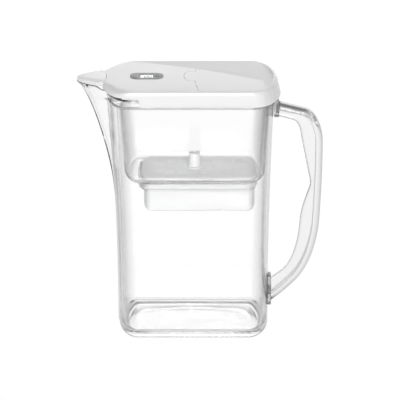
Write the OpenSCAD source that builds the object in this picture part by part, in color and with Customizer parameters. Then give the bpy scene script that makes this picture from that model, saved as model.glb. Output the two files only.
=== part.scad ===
// Water filter pitcher with a flip lid. Millimetres, +Z up, +X towards the handle.
// The origin is the centre of the jug's base on the table.

/* [Jug] */
// Height of the jug's rim above the table
jug_h = 265.5; // [225:0.5:320]
// Length of the jug at its base, over both bowed ends
jug_len = 159; // [140:1:195]
// Depth of the jug over its flat front and back
jug_depth = 100; // [88:1:125]
// How far each bowed end stands out from the flat sides
end_bow = 20.5; // [16:0.5:26]
// How much further the spout end reaches at the rim than at the base
spout_lean = 11; // [4:0.5:14]
// How much further the handle end reaches at the rim than at the base
handle_lean = 6.5; // [2:0.5:9]
// Wall of the jug
jug_wall = 2.5; // [2:0.1:3.2]
// Floor of the jug
floor_t = 3.5; // [2.5:0.1:5]
// Depth of the recess under the floor
foot_recess = 3.5; // [1.5:0.5:5]
// Width of the foot ring around that recess
foot_ring = 7; // [5:0.5:9]
// Radius where the walls meet the base
base_round = 4; // [2:0.5:5]
// How far the bead below the lid stands out
bead_w = 1.8; // [0.8:0.1:2.4]
// Height of that bead
bead_h = 2.4; // [1.5:0.1:3]

/* [Spout] */
// How far the spout's tip stands out past the rim
spout_reach = 31.5; // [24:0.5:38]
// Half width of the spout at the lid's seam
spout_half = 22; // [18:0.5:26]
// Wall of the spout
spout_wall = 2.2; // [1.8:0.1:2.6]
// Height at which the spout grows out of the wall
spout_foot = 130; // [100:1:160]

/* [Handle] */
// How far the handle stands out past the jug's base
handle_reach = 57.5; // [50:0.5:70]
// Thickness of the outer band
band_t = 7.8; // [6:0.1:10]
// Width of the outer band
band_w = 16; // [12:0.5:20]
// Thickness of the inner web
web_t = 5; // [4:0.2:7]
// Length of the upper boss on the jug
boss_len = 4.5; // [3.5:0.5:7]
// Clearance of a tongue in its slot
tongue_gap = 0.1; // [0.05:0.05:0.2]

/* [Hopper] */
// Wall of the hopper
hopper_wall = 2.2; // [1.6:0.1:2.8]
// Thickness of the flange that hangs on the jug's rim
flange_t = 2.5; // [2:0.1:4]
// Height of the hopper from its floor to the jug's rim
hopper_h = 94.5; // [80:0.5:110]
// Gap between the hopper and the jug's front and back walls at the rim
hopper_gap = 1; // [0.6:0.1:2]
// Gap for pouring between the hopper and the spout end
pour_gap = 6; // [4.5:0.5:8]
// How much narrower the hopper is at its floor, front and back
hopper_draft = 3; // [1:0.5:4]
// How far the hopper's spout end slopes in towards its floor
hopper_slope = 7.6; // [4:0.2:10]
// How far its handle end slopes in towards its floor
handle_slope = 4.5; // [4:0.1:6]
// Depth of the cartridge seat under the hopper's floor
seat_h = 8.5; // [6:0.5:11]

/* [Cartridge] */
// Gap between the cartridge and its seat
cart_gap = 0.7; // [0.4:0.1:1.2]
// Width of the cartridge's flange
cart_flange = 3.4; // [2.8:0.1:4]
// How far the cup hangs below the seat
cup_drop = 25; // [15:0.5:35]
// Wall of the cup and its cap
cup_wall = 1.5; // [1.2:0.1:2]
// Thickness of the seal under the flange
seal_t = 1.2; // [0.8:0.1:1.6]
// Height of the cap above the flange
cap_h = 9; // [8:0.5:12]
// Height of the lifting post on the cap
post_h = 18; // [12:0.5:22]
// Radius of the lifting post
post_r = 6.25; // [5:0.25:8]
// Place of the post along the cartridge, from its middle
post_x = -5.3; // [-12:0.1:12]
// Length of an inlet slot
slot_len = 9; // [5:0.5:12]
// Width of an inlet slot
slot_w = 1; // [0.6:0.1:1.4]

/* [Lid] */
// Height of the lid's deck above the hopper's flange
lid_rise = 9; // [8:0.5:12]
// Thickness of the deck
deck_t = 2.2; // [2:0.1:2.6]
// Wall of the lid's skirt
skirt_wall = 2; // [1.6:0.1:2.4]
// How far the skirt hangs below the jug's rim
skirt_lap = 5.5; // [4:0.5:8]
// Height of the skirt where it is cut short beside the spout
short_skirt = 7; // [6:0.5:8]
// Overhang of the lid past the rim, front and back
lid_over = 3.3; // [3:0.1:4.5]
// Overhang of the lid past the rim at its ends
lid_over_end = 6.2; // [6:0.1:8]
// Thickness of the liner under the lid
liner_t = 1.6; // [1.2:0.1:2]
// Thickness of the floor of the thumb scoop, which lies on the liner where it is deepest
scoop_t = 1.6; // [1.2:0.1:2]

/* [Flip lid and spout cap] */
// Place of the flip lid's point, from the jug's middle
flip_tip = -9.7; // [-14:0.1:-6]
// Half width of the flip lid's nose, between the ears of its hinge
nose_half = 15.8; // [12:0.2:18]
// Length of the rim left behind the flip lid at the handle
thumb_room = 18; // [15:0.5:24]
// Distance of the flip lid's front edge from the lid's side
front_margin = 4.2; // [3.9:0.1:6]
// Thickness of the flip lid
flip_t = 2.2; // [2:0.1:2.6]
// Gap round the flip lid and along the spout cap's seam
seam = 0.5; // [0.4:0.05:0.8]
// Radius of the hinge pins
pin_r = 1; // [0.8:0.05:1.2]
// Running clearance round a hinge pin
pin_gap = 0.06; // [0.03:0.01:0.1]
// Radius of the seam between lid and spout cap
seam_r = 55; // [45:1:70]
// Height of the spout cap
spout_cap_h = 4.4; // [4:0.1:5]

/* [Filter indicator] */
// Length of the indicator
ind_len = 35; // [32:0.5:40]
// Depth of the indicator
ind_depth = 22; // [20:0.5:24]
// Radius of its corners
ind_round = 8; // [5:0.5:9]
// Distance from the spout seam to the indicator's middle
ind_from_seam = 42.5; // [34:0.5:48]
// Radius of the reset button
button_r = 2.5; // [2:0.1:3]
// Travel of the reset button
button_travel = 0.6; // [0.4:0.1:1]
// Radius of the coin cell
cell_r = 8; // [6:0.5:8]
// Thickness of the coin cell
cell_t = 3.2; // [2:0.1:3.2]

/* [Hidden] */
$fn = 48;
eps = 0.01;
cut = 1;            // how far a cut runs past the face that it opens
corner_steps = 7;   // straight stretches in a quarter of an outline
end_flat = 1.5;     // half of the flat stretch left in the middle of a bowed end
fit = 0.1;          // gap between flat faces that lie on each other loosely
handle_bow = 3.5;   // extra bow of the handle end at the rim
pour_half = spout_half + 10;  // half width of the gap in the hopper's flange at the spout

// Heights
rim_z = jug_h;
flange_z = rim_z + flange_t;
deck_z = flange_z + lid_rise;
deck_under = deck_z - deck_t;
scoop_depth = lid_rise - liner_t - scoop_t;
skirt_z = rim_z - skirt_lap;
bead_z = skirt_z - 0.7;
floor_z = foot_recess + floor_t;
hopper_z = rim_z - hopper_h;
hopper_floor = hopper_z + hopper_wall;
ledge_z = hopper_z - seat_h;
ledge_top = ledge_z + hopper_wall;
cart_z = ledge_z - cup_drop;
seal_z = ledge_top + 0.05;
cart_flange_z = seal_z + seal_t;
cart_flange_t = 2;
cap_z = cart_flange_z + cart_flange_t;
cap_top = cap_z + cap_h;

// Ends of the jug at its rim
rim_x0 = -jug_len / 2 - spout_lean;
rim_x1 = jug_len / 2 + handle_lean;
half_d = jug_depth / 2;

// Lid
lid_x0 = rim_x0 - lid_over_end;
lid_x1 = rim_x1 + lid_over_end - 0.2;
lid_half = half_d + lid_over;
lid_len = lid_x1 - lid_x0;
lid_bow0 = end_bow + 5.5;
lid_bow1 = end_bow + 8.5;
lid_draft = 3.5;    // slope of the skirt at the handle end
seam_x = rim_x0 - 1;
tip_x = rim_x0 - spout_reach;
short_end = lid_x0 + 41;  // end of the short skirt beside the spout

// Hinges
hinge_drop = 1.4;   // from the deck down to a hinge's axis
hinge_z = deck_z - hinge_drop;
flip_axis = flip_tip + 8.2;
cap_axis = seam_x - 6.5;
cap_ear = spout_half - 6.2;  // inner faces of the spout cap's ears, from the middle
ear_gap = 0.4;      // gap at the side of an ear and at the end of a pin
ear_t = 4.2;        // thickness of an ear
ear_h = 2.6;        // depth of an ear below its hinge's axis
ledge_h = 1.7;      // depth of the ledge under the flip lid, below the deck
ledge_w = 3;        // how far that ledge reaches under the flip lid
pin_len = 3.6;
flip_end = lid_x1 - thumb_room;
fill_half = half_d - jug_wall - hopper_gap - hopper_wall - 3.3;  // inside the liner's lip

function lean(z) = pow(max(z, 0) / jug_h, 2.2);
function arc(cx, cy, rx, ry, a0) = [for (i = [0:corner_steps])
    let (a = a0 + 90 * i / corner_steps) [cx + rx * cos(a), cy + ry * sin(a)]];

// Outline from x0 to x1, half depth h, whose corners bow by b0 and b1 along X and take c of the depth
function plan(x0, x1, h, b0, b1, c) = concat(
    arc(x1 - b1, h - c, b1, c, 0), arc(x0 + b0, h - c, b0, c, 90),
    arc(x0 + b0, c - h, b0, c, 180), arc(x1 - b1, c - h, b1, c, 270));

// The jug's outline at height z, moved in by d
function jug_plan(z, d) = plan(-jug_len / 2 - spout_lean * lean(z) + d,
    jug_len / 2 + handle_lean * lean(z) - d, half_d - d,
    end_bow - d, end_bow + handle_bow * lean(z) - d, half_d - d - end_flat);

// The hopper's outline at height z, moved in by d
function hopper_t(z) = max(0, (rim_z - z) / hopper_h);
function hopper_half(z, d) = half_d - jug_wall - hopper_gap - hopper_draft * hopper_t(z) - d;
function hopper_plan(z, d) = plan(
    rim_x0 + jug_wall + pour_gap + hopper_slope * hopper_t(z) + d,
    rim_x1 - jug_wall - 1.5 * hopper_gap - handle_slope * hopper_t(z) - d,
    hopper_half(z, d), end_bow - 1 - d, end_bow - d, hopper_half(z, d) - end_flat);

// The cartridge seat's outer outline, moved in by d
seat_round = 14;
seat_corner = 24;
seat_x0 = rim_x0 + jug_wall + pour_gap + hopper_slope + 16;
seat_x1 = rim_x1 - jug_wall - 1.5 * hopper_gap - handle_slope - 6;
seat_half = half_d - jug_wall - hopper_gap - hopper_draft - 4.3;
function seat_plan(d) = plan(seat_x0 + d, seat_x1 - d, seat_half - d,
    seat_round - d, seat_round - d, seat_corner - d);
flange_in = hopper_wall + cart_gap;
cup_in = flange_in + cart_flange;
cart_x = (seat_x0 + seat_x1) / 2;

// The lid's outline moved in by d, with the draft of its handle end taken as k
function lid_plan(d, k) = plan(lid_x0 + d, lid_x1 - d - lid_draft * k, lid_half - d,
    lid_bow0 - d, lid_bow1 - d - lid_draft * k, lid_half - d - end_flat);

// The spout's tip at height z, and its half width at a distance from the tip
spout_top = deck_z - spout_cap_h - 0.1;
function spout_t(z) = max(0, (z - spout_foot) / (spout_top - spout_foot));
function spout_tip(z) = -jug_len / 2 - spout_lean * lean(z)
    - spout_reach * (0.84 * pow(spout_t(z), 1.8) + 0.16 * pow(spout_t(z), 16));
function spout_w(d) = max(0.3, spout_half * pow(max(d, 0) / 28, 0.6));
spout_steps = [0.1, 0.8, 2.4, 5, 9, 14, 20, 28, 38];
spout_side = [for (i = [len(spout_steps) - 1:-1:0]) spout_steps[i]];
function spout_point(z, d, s, side) = [spout_tip(z) + 1.6 * d + s, side * max(0.2, spout_w(s) - 0.35 * d)];
function spout_plan(z, d) = concat([for (s = spout_steps) spout_point(z, d, s, -1)],
    [for (s = spout_side) spout_point(z, d, s, 1)]);

// The line that parts the deck from the thumb scoop
crease_x0 = lid_x0 + lid_bow0 - 0.5;
crease_y0 = lid_half - 1.5;
crease_x1 = flip_end;
crease_y1 = -15.4;
crease_bulge = 7;
function crease_u(x) = (x - crease_x0) / (crease_x1 - crease_x0);
function crease_y(x) = let (u = crease_u(x))
    crease_y0 + (crease_y1 - crease_y0) * u + 4 * crease_bulge * u * (1 - u);

// The handle's curves, in X and Z, from the base end of the jug
handle_x = jug_len / 2;
lower_boss = handle_x + 3.5;
upper_boss = rim_x1 + boss_len;
handle_top = rim_z - 16;
handle_out = handle_x + handle_reach;
tongue_in = 3;
tongue_w = 6;
tongue_h = 10;
bosses = [[upper_boss, handle_top - 7, 8.5], [lower_boss, 38, 16]];  // end, middle and half height
function bez(p, q, r, s, n) = [for (i = [1:n]) let (t = i / n, u = 1 - t)
    u * u * u * p + 3 * u * u * t * q + 3 * u * t * t * r + t * t * t * s];
h_top = [handle_out - 19, handle_top - 6.8];
h_side = [handle_out, handle_top - 44];
h_low = [handle_out - 3, 0.43 * rim_z];
h_curve = [handle_out - 28, 48];
function handle_outer() = concat([[handle_x, handle_top + 2.9], h_top],
    bez(h_top, h_top + [10.5, -2.7], h_side + [-0.6, 19], h_side, 7),
    bez(h_side, h_side + [0.2, -32], h_low + [1.4, 22], h_low, 5),
    bez(h_low, h_low + [-2.6, -27], h_curve + [14, 14.5], h_curve, 7),
    [[handle_x + 1.5, 23.5], [handle_x - 12, 13.5]]);
g_top = [handle_x + 26, handle_top - 20.5];
g_knee = [handle_x + 34.6, handle_top - 40];
g_point = [handle_x + 44.8, 0.597 * rim_z];
g_waist = [handle_x + 33.6, 0.434 * rim_z];
g_low = [handle_x + 16.4, 61];
function handle_inner() = concat([[handle_x - 12, handle_top - 10.5], g_top],
    bez(g_top, g_top + [5.5, -1.7], g_knee + [-0.5, 9], g_knee, 5), [g_point],
    bez(g_point, g_point + [-2.6, -10.5], g_waist + [1, 18], g_waist, 5),
    bez(g_waist, g_waist + [-1.6, -22], g_low + [11, 12], g_low, 6),
    [[handle_x + 2, 50], [handle_x - 12, 40]]);

// Indicator
ind_x = seam_x + ind_from_seam;
bezel_z = deck_z - 1.6;
case_wall = 1.4;
clip_t = 0.3;
clip_h = 0.9;
board_t = 0.8;
lcd_t = 1.2;
lcd_gap = 1.9;      // from the board up to the display
case_z = bezel_z - lcd_t - lcd_gap - board_t - clip_h - cell_t - case_wall;
cell_top = case_z + case_wall + cell_t;
board_z = cell_top + clip_h;
board_top = board_z + board_t;
lcd_z = bezel_z - lcd_t;
rim_drop = 0.8;     // from the deck's underside down to the case's rim
window_len = 13;
window_depth = 11.5;
button_x = ind_x + ind_len / 2 - 6.4;
button_z = bezel_z + button_travel + 0.2;
stem_z = board_top + button_travel + fit;

// A closed form through outlines that lie level at the given heights
module loft(rings, heights) {
    m = len(rings[0]);
    k = len(rings);
    points = [for (i = [0:k - 1]) for (p = rings[i]) [p[0], p[1], heights[i]]];
    sides = [for (i = [0:k - 2]) for (j = [0:m - 1]) let (a = i * m + j, b = i * m + (j + 1) % m)
        each [[a, a + m, b + m], [a, b + m, b]]];
    polyhedron(points, concat([[for (j = [0:m - 1]) j]], sides,
        [[for (j = [m - 1:-1:0]) (k - 1) * m + j]]), convexity = 6);
}

module slab(z0, z1) translate([0, 0, z0]) linear_extrude(z1 - z0) children();

module along_y(x, z, r, y0, y1)
    translate([x, y0, z]) rotate([-90, 0, 0]) cylinder(r = r, h = y1 - y0);

// A drawing in X and Z, w thick about the middle plane
module upright(w) translate([0, w / 2, 0]) rotate([90, 0, 0]) linear_extrude(w) children();

module box_at(x0, x1, y0, y1, z0, z1) translate([x0, y0, z0]) cube([x1 - x0, y1 - y0, z1 - z0]);

module jug_solid(d, z0, round_r, z1) {
    steps = [0, 0.3, 0.7, 1];
    low = [for (s = steps) z0 + round_r * (1 - cos(90 * s))];
    inset = [for (s = steps) round_r * (1 - sin(90 * s))];
    high = [for (f = [0.25, 0.45, 0.62, 0.78, 0.9]) f * rim_z];
    loft(concat([for (i = [0:3]) jug_plan(low[i], d + inset[i])],
        [for (z = concat(high, [z1])) jug_plan(z, d)]), concat(low, high, [z1]));
}

module spout_solid(d, top) {
    rise = spout_top - spout_foot;
    zs = concat([for (t = [0, 0.2, 0.4, 0.57, 0.7, 0.81, 0.9, 0.96]) spout_foot + t * rise], [top]);
    loft([for (z = zs) spout_plan(min(z, spout_top), d)], zs);
}

// A tongue of the handle, or with no gap its slot
module tongue(x0, x1, z, gap)
    box_at(x0, x1, gap - tongue_w / 2, tongue_w / 2 - gap, z + gap - tongue_h / 2, z + tongue_h / 2 - gap);

module jug_shell() color([0.93, 0.95, 0.96, 0.35]) difference() {
    union() {
        jug_solid(0, 0, base_round, rim_z);
        difference() {
            spout_solid(0, spout_top);
            box_at(lid_x0 - seam, 0, -half_d, half_d, deck_z - short_skirt - 1.5, deck_z);
            box_at(rim_x0 + jug_wall + pour_gap - 1, 0, -half_d, half_d, rim_z, deck_z);
        }
        slab(bead_z - bead_h, bead_z) polygon(jug_plan(skirt_z, -bead_w));
        for (b = bosses) box_at(0, b[0], -band_w / 2, band_w / 2, b[1] - b[2], b[1] + b[2]);
    }
    jug_solid(jug_wall, floor_z, base_round + 1, rim_z + cut);
    spout_solid(spout_wall, spout_top + cut);
    slab(-cut, foot_recess) polygon(jug_plan(0, foot_ring));
    for (b = bosses) tongue(b[0] - tongue_in, b[0] + cut, b[1], 0);
}

module handle() color([0.9, 0.92, 0.94, 0.4]) {
    difference() {
        union() {
            upright(band_w) difference() {
                polygon(handle_outer());
                offset(delta = -band_t) polygon(concat(handle_outer(), [[0, 0], [0, handle_top + 22]]));
            }
            upright(web_t) difference() {
                polygon(handle_outer());
                polygon(handle_inner());
            }
        }
        box_at(handle_x - 20, upper_boss, -band_w, band_w, 0.5 * rim_z, rim_z + 20);
        box_at(handle_x - 20, lower_boss, -band_w, band_w, 0, 0.5 * rim_z);
    }
    for (b = bosses) tongue(b[0] - tongue_in + tongue_gap, b[0] + 2, b[1], tongue_gap);
}

module hopper_solid(d, z0, r, z1) {
    low = [[z0, r], [z0 + 0.3 * r, 0.3 * r], [z0 + r, 0], [0.5 * (z0 + rim_z), 0], [rim_z, 0]];
    loft(concat([for (p = low) hopper_plan(p[0], d + p[1])], [hopper_plan(rim_z, d)]),
        concat([for (p = low) p[0]], [z1]));
}

module hopper() color([0.88, 0.9, 0.92, 0.4]) difference() {
    union() {
        hopper_solid(0, hopper_z, 7, flange_z);
        difference() {
            slab(rim_z, flange_z) polygon(jug_plan(rim_z, 0));
            box_at(rim_x0 - 10, rim_x0 + end_bow + 1, -pour_half, pour_half, rim_z - cut, flange_z + cut);
        }
        slab(ledge_z, hopper_floor) polygon(seat_plan(0));
    }
    hopper_solid(hopper_wall, hopper_floor, 6, flange_z + cut);
    slab(ledge_top, hopper_floor + cut) polygon(seat_plan(hopper_wall));
    slab(ledge_z - cut, ledge_top + cut) polygon(seat_plan(cup_in - 0.5));
}

module cartridge_cup() color("whitesmoke") difference() {
    union() {
        loft([for (d = [4, 1.2, 0, 0]) seat_plan(cup_in + d)], [cart_z, cart_z + 1.2, cart_z + 4, cap_z]);
        slab(cart_flange_z, cap_z) polygon(seat_plan(flange_in));
    }
    slab(cart_z + cup_wall, cap_z + cut) polygon(seat_plan(cup_in + cup_wall + 0.8));
    for (i = [-4:4]) for (s = [-1, 1])
        box_at(cart_x + 9 * i - 3, cart_x + 9 * i + 3, s * 12 - slot_w / 2, s * 12 + slot_w / 2,
            cart_z - cut, cart_z + cup_wall + cut);
}

// Inside of the cup, where the bed and its screens lie
bed_in = cup_in + cup_wall + 0.9;
screen_t = 0.8;
bed_z = cart_z + cup_wall + screen_t;
bed_top = cap_z - 3.5;

module lower_screen() color("gainsboro") slab(cart_z + cup_wall, bed_z) polygon(seat_plan(bed_in));
module filter_media() color([0.25, 0.25, 0.26]) slab(bed_z, bed_top) polygon(seat_plan(bed_in));
module upper_screen() color("gainsboro") slab(bed_top, bed_top + screen_t) polygon(seat_plan(bed_in));

module cartridge_seal() color([0.8, 0.82, 0.84]) slab(seal_z, cart_flange_z) difference() {
    polygon(seat_plan(flange_in + 0.4));
    polygon(seat_plan(cup_in));
}

module cartridge_cap() color("white") {
    difference() {
        loft([for (d = [0.3, 0.3, 1.1, 3]) seat_plan(flange_in + d)],
            [cap_z, cap_top - 3, cap_top - 0.9, cap_top]);
        slab(cap_z - cut, cap_top - cup_wall) polygon(seat_plan(flange_in + 3));
        for (i = [-3.5:1:3.5]) for (s = [-1, 1]) for (row = [13, 17.5, 22])
            translate([cart_x + i * (slot_len + 3), s * row, cap_top - cup_wall / 2])
                cube([slot_len, slot_w, cup_wall + 2 * cut], center = true);
    }
    translate([cart_x + post_x, 0, cap_top - cup_wall]) difference() {
        union() {
            cylinder(r = post_r, h = post_h);
            cylinder(r = post_r + 2, h = cup_wall + 1.5);
        }
        translate([0, 0, post_h - 5]) cylinder(r = post_r - 1.8, h = 5 + cut);
    }
}

// Everything of the deck that lies behind the crease or past the flip lid's end
module behind_crease() polygon(concat(
    [for (i = [0:6]) let (x = crease_x0 + (crease_x1 - crease_x0) * i / 6) [x, crease_y(x)]],
    [[flip_end, -lid_half - 20], [lid_x1 + 20, -lid_half - 20], [lid_x1 + 20, lid_half + 20],
    [crease_x0, lid_half + 20]]));

module scoop_area(d) intersection() {
    offset(delta = d) behind_crease();
    polygon(lid_plan(4 - d, 1));
}

// The slab between two levels measured from the sloping floor of the scoop
scoop_slope = atan(scoop_depth / (lid_half - 4 - crease_y1));
module scoop_slab(low, high) translate([0, lid_half - 4, deck_z]) rotate([scoop_slope, 0, 0])
    translate([-lid_len, -2 * lid_half, low]) cube([2 * lid_len, 3 * lid_half, high - low]);

notch_x0 = flip_axis - 4.5;
notch_x1 = flip_axis + 4;
module flip_area() intersection() {
    polygon(concat(
        [[flip_tip, 0], [flip_tip + 0.9, -8], [notch_x0, -nose_half], [notch_x1, -nose_half],
        [notch_x1, -nose_half - 8], [notch_x1 + 4, -lid_half], [flip_end, -lid_half]],
        [for (i = [0:5]) let (x = flip_end - (flip_end - notch_x1 - 6) * i / 5) [x, crease_y(x)]],
        [[notch_x1, crease_y(notch_x1) - 3.5], [notch_x1, nose_half], [notch_x0, nose_half],
        [flip_tip + 0.9, 8]]));
    polygon(lid_plan(front_margin, 1.1));
}

// The way in under the flip lid, inside the liner's lip
module fill_area() intersection() {
    offset(delta = 1) flip_area();
    translate([-lid_len, -fill_half]) square(2 * [lid_len, fill_half]);
}

module cap_area() intersection() {
    polygon(concat([for (s = spout_steps) [tip_x + s, -spout_w(s)]],
        [for (s = spout_side) [tip_x + s, spout_w(s)]]));
    translate([seam_x - seam_r, 0]) circle(r = seam_r, $fn = 128);
}

module indicator_area(d) translate([ind_x, 0]) offset(r = ind_round + d)
    square([ind_len - 2 * ind_round, ind_depth - 2 * ind_round], center = true);

// The lid's edge, as height, distance in and share of the draft
lid_edge = [[skirt_z, 0, 0], [deck_z - 4, 0.4, 0.75], [deck_z - 1.9, 0.8, 1],
    [deck_z - 0.6, 1.5, 1.05], [deck_z, 2.8, 1.1]];
lid_hollow = [[skirt_z - cut, 0.1, 0], [rim_z, 0.1, 0.3], [deck_z - 4, 0.4, 0.75], [deck_under, 0.5, 0.9]];
module lid_form(edge, d) loft([for (p = edge) lid_plan(p[1] + d, p[2])], [for (p = edge) p[0]]);

// The outlines of a pair of hinge ears that start at x, l long and w from the middle
module ears(x, l, w) for (s = [-1, 1])
    translate([x, s * (w + ear_gap + ear_t / 2) - ear_t / 2]) square([l, ear_t]);

// A pair of hinge pins or bores that reach out past w
module pins(x, w, r, reach) for (s = [-1, 1])
    translate([x, s * (w + (reach - 1) / 2), hinge_z]) rotate([90, 0, 0])
        cylinder(r = r, h = reach + 1, center = true);

module lid_shell() color("white") difference() {
    union() {
        difference() {
            lid_form(lid_edge, 0);
            lid_form(lid_hollow, skirt_wall);
        }
        // floor of the scoop, and the wall that holds the deck's edge above it
        intersection() {
            scoop_slab(-scoop_t, 4 * scoop_depth);
            slab(deck_z - scoop_depth - scoop_t, deck_under + 0.5) scoop_area(scoop_t);
        }
        // ledge under the flip lid, and the blocks of its hinge
        slab(deck_under - ledge_h, deck_under + 0.5) difference() {
            offset(delta = 2) flip_area();
            offset(delta = seam) flip_area();
        }
        slab(deck_under - ledge_h, deck_under - 0.15) difference() {
            offset(delta = 2) flip_area();
            offset(delta = -ledge_w) flip_area();
            translate([flip_tip - 10, -half_d]) square([notch_x1 + 16 - flip_tip, jug_depth]);
        }
        slab(hinge_z - ear_h, deck_z - eps) ears(flip_axis - 3.6, 7, nose_half);
        slab(hinge_z - ear_h, deck_z) intersection() {
            ears(cap_axis - 2.4, 10, cap_ear);
            cap_area();
        }
    }
    slab(deck_under - 0.15, deck_z + cut) offset(delta = seam) flip_area();
    slab(skirt_z - cut, deck_z) offset(delta = -ledge_w) flip_area();
    intersection() {
        scoop_slab(0, 4 * scoop_depth);
        slab(deck_z - scoop_depth, deck_z + 4) difference() {
            scoop_area(0);
            flip_area();
        }
    }
    // seam and short skirt beside the spout
    slab(skirt_z - cut, deck_z + cut) difference() {
        translate([seam_x - seam_r, 0]) circle(r = seam_r + seam, $fn = 128);
        ears(cap_axis - 2.4, 10, cap_ear);
    }
    upright(3 * lid_half) polygon([[lid_x0 - 20, skirt_z - 5], [short_end - 2, skirt_z - 5],
        [short_end, skirt_z], [short_end - 1.8, deck_z - short_skirt],
        [lid_x0 - 20, deck_z - short_skirt]]);
    slab(deck_under - cut, deck_z + cut) indicator_area(0.15);
    pins(flip_axis, nose_half, pin_r + pin_gap, pin_len + ear_gap);
    pins(cap_axis, cap_ear, pin_r + pin_gap, pin_len + ear_gap);
}

module lid_liner() color([0.93, 0.93, 0.93]) difference() {
    union() {
        slab(flange_z, flange_z + liner_t) difference() {
            polygon(lid_plan(skirt_wall + 0.5, 1.1));
            translate([lid_x0, -pour_half - 2]) square([lid_bow0 - 4, 2 * pour_half + 4]);
        }
        slab(rim_z - 4, flange_z + eps) difference() {
            polygon(hopper_plan(rim_z, hopper_wall + 0.6));
            polygon(hopper_plan(rim_z, hopper_wall + 2.2));
        }
    }
    slab(rim_z - 5, flange_z + 4) fill_area();
    slab(rim_z - 5, flange_z + 4) indicator_area(0.4);
}

module flip_lid() color([0.97, 0.97, 0.97]) {
    slab(deck_z - flip_t, deck_z) flip_area();
    intersection() {
        along_y(flip_axis, hinge_z, hinge_drop, -nose_half, nose_half);
        slab(0, deck_z) flip_area();
    }
    pins(flip_axis, nose_half, pin_r, pin_len);
}

module spout_cap() color([0.97, 0.97, 0.97]) {
    difference() {
        union() {
            slab(deck_z - deck_t, deck_z) cap_area();
            slab(deck_z - spout_cap_h, deck_z) difference() {
                cap_area();
                offset(delta = -1.6) cap_area();
                translate([cap_axis - 3.4, -spout_half - 5]) square([20, 2 * spout_half + 10]);
            }
            along_y(cap_axis, hinge_z, hinge_drop, -cap_ear, cap_ear);
        }
        for (s = [-1, 1]) slab(deck_z - spout_cap_h - cut, deck_z + cut)
            translate([cap_axis - 3, s > 0 ? cap_ear : -cap_ear - 12]) square([20, 12]);
    }
    pins(cap_axis, cap_ear, pin_r, pin_len);
}

module window(z0, z1)
    box_at(ind_x - window_len / 2, ind_x + window_len / 2, -window_depth / 2, window_depth / 2, z0, z1);

module indicator_bezel() color([0.5, 0.51, 0.52]) difference() {
    slab(bezel_z, deck_z + 0.15) indicator_area(0);
    window(bezel_z - cut, deck_z + cut);
    translate([button_x, 0, bezel_z - cut]) cylinder(r = button_r + fit, h = 2 * cut + 2);
}

module indicator_lens() color([0.85, 0.88, 0.88, 0.5]) window(bezel_z, deck_z);

module reset_button() color([0.42, 0.43, 0.44]) translate([button_x, 0, 0]) {
    translate([0, 0, button_z]) cylinder(r = button_r, h = deck_z + 0.5 - button_z);
    translate([0, 0, stem_z]) cylinder(r = 1, h = button_z - stem_z);
}

module indicator_case() color([0.9, 0.9, 0.9]) difference() {
    union() {
        slab(case_z, bezel_z) indicator_area(0);
        slab(deck_under - rim_drop - 1.5, deck_under - rim_drop) indicator_area(2.4);
    }
    slab(case_z + case_wall, bezel_z + cut) indicator_area(-case_wall);
}

module indicator_seal() color([0.3, 0.3, 0.31]) slab(deck_under - rim_drop, deck_under) difference() {
    indicator_area(2.2);
    indicator_area(0.16);
}

module circuit_board() color([0.1, 0.4, 0.25])
    slab(board_z, board_top) indicator_area(-case_wall - fit);

module coin_cell() color([0.75, 0.76, 0.78])
    translate([ind_x, 0, case_z + case_wall]) cylinder(r = cell_r, h = cell_t);

module battery_clip() color([0.8, 0.78, 0.7])
    for (s = [-1, 1]) translate([ind_x + s * 11, 0, 0]) {
        box_at(-5, 5, -2.5, 2.5, cell_top, cell_top + clip_t);
        box_at(1.6 * s - 0.4, 1.6 * s + 0.4, -2.5, 2.5, cell_top + clip_t, board_z);
    }

module lcd_connector() color([0.35, 0.35, 0.38])
    for (s = [-1, 1]) box_at(ind_x - 6, ind_x + 6, s * 4.6 - 0.8, s * 4.6 + 0.8, board_top, lcd_z);

module lcd_panel() color([0.72, 0.76, 0.7])
    box_at(ind_x - 7.5, ind_x + 7.5, -7, 7, lcd_z, bezel_z);

jug_shell();
handle();
hopper();
cartridge_cup();
cartridge_cap();
cartridge_seal();
filter_media();
upper_screen();
lower_screen();
lid_shell();
lid_liner();
flip_lid();
spout_cap();
indicator_bezel();
indicator_lens();
reset_button();
indicator_case();
indicator_seal();
lcd_panel();
lcd_connector();
circuit_board();
battery_clip();
coin_cell();
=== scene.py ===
import math

import bmesh
import bpy
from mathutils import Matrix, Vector


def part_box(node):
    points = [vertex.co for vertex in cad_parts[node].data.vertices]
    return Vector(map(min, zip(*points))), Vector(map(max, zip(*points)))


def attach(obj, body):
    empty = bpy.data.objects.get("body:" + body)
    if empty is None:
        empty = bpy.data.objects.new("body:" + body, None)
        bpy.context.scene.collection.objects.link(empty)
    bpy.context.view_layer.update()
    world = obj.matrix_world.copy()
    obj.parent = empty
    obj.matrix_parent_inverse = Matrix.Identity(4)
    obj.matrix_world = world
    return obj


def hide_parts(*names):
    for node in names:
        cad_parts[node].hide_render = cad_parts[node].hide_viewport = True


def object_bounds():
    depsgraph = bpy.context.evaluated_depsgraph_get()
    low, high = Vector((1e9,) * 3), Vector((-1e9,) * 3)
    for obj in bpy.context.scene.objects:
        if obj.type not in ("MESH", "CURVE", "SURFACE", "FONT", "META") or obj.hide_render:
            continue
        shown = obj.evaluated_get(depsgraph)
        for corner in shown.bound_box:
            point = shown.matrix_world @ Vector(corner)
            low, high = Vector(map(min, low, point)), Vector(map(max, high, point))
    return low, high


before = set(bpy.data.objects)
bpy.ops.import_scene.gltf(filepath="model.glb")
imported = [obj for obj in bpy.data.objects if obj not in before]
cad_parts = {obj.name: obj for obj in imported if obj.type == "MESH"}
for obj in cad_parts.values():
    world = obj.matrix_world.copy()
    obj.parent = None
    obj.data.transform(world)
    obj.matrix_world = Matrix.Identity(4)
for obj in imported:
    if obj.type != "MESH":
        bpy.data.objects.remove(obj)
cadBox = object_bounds()
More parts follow.
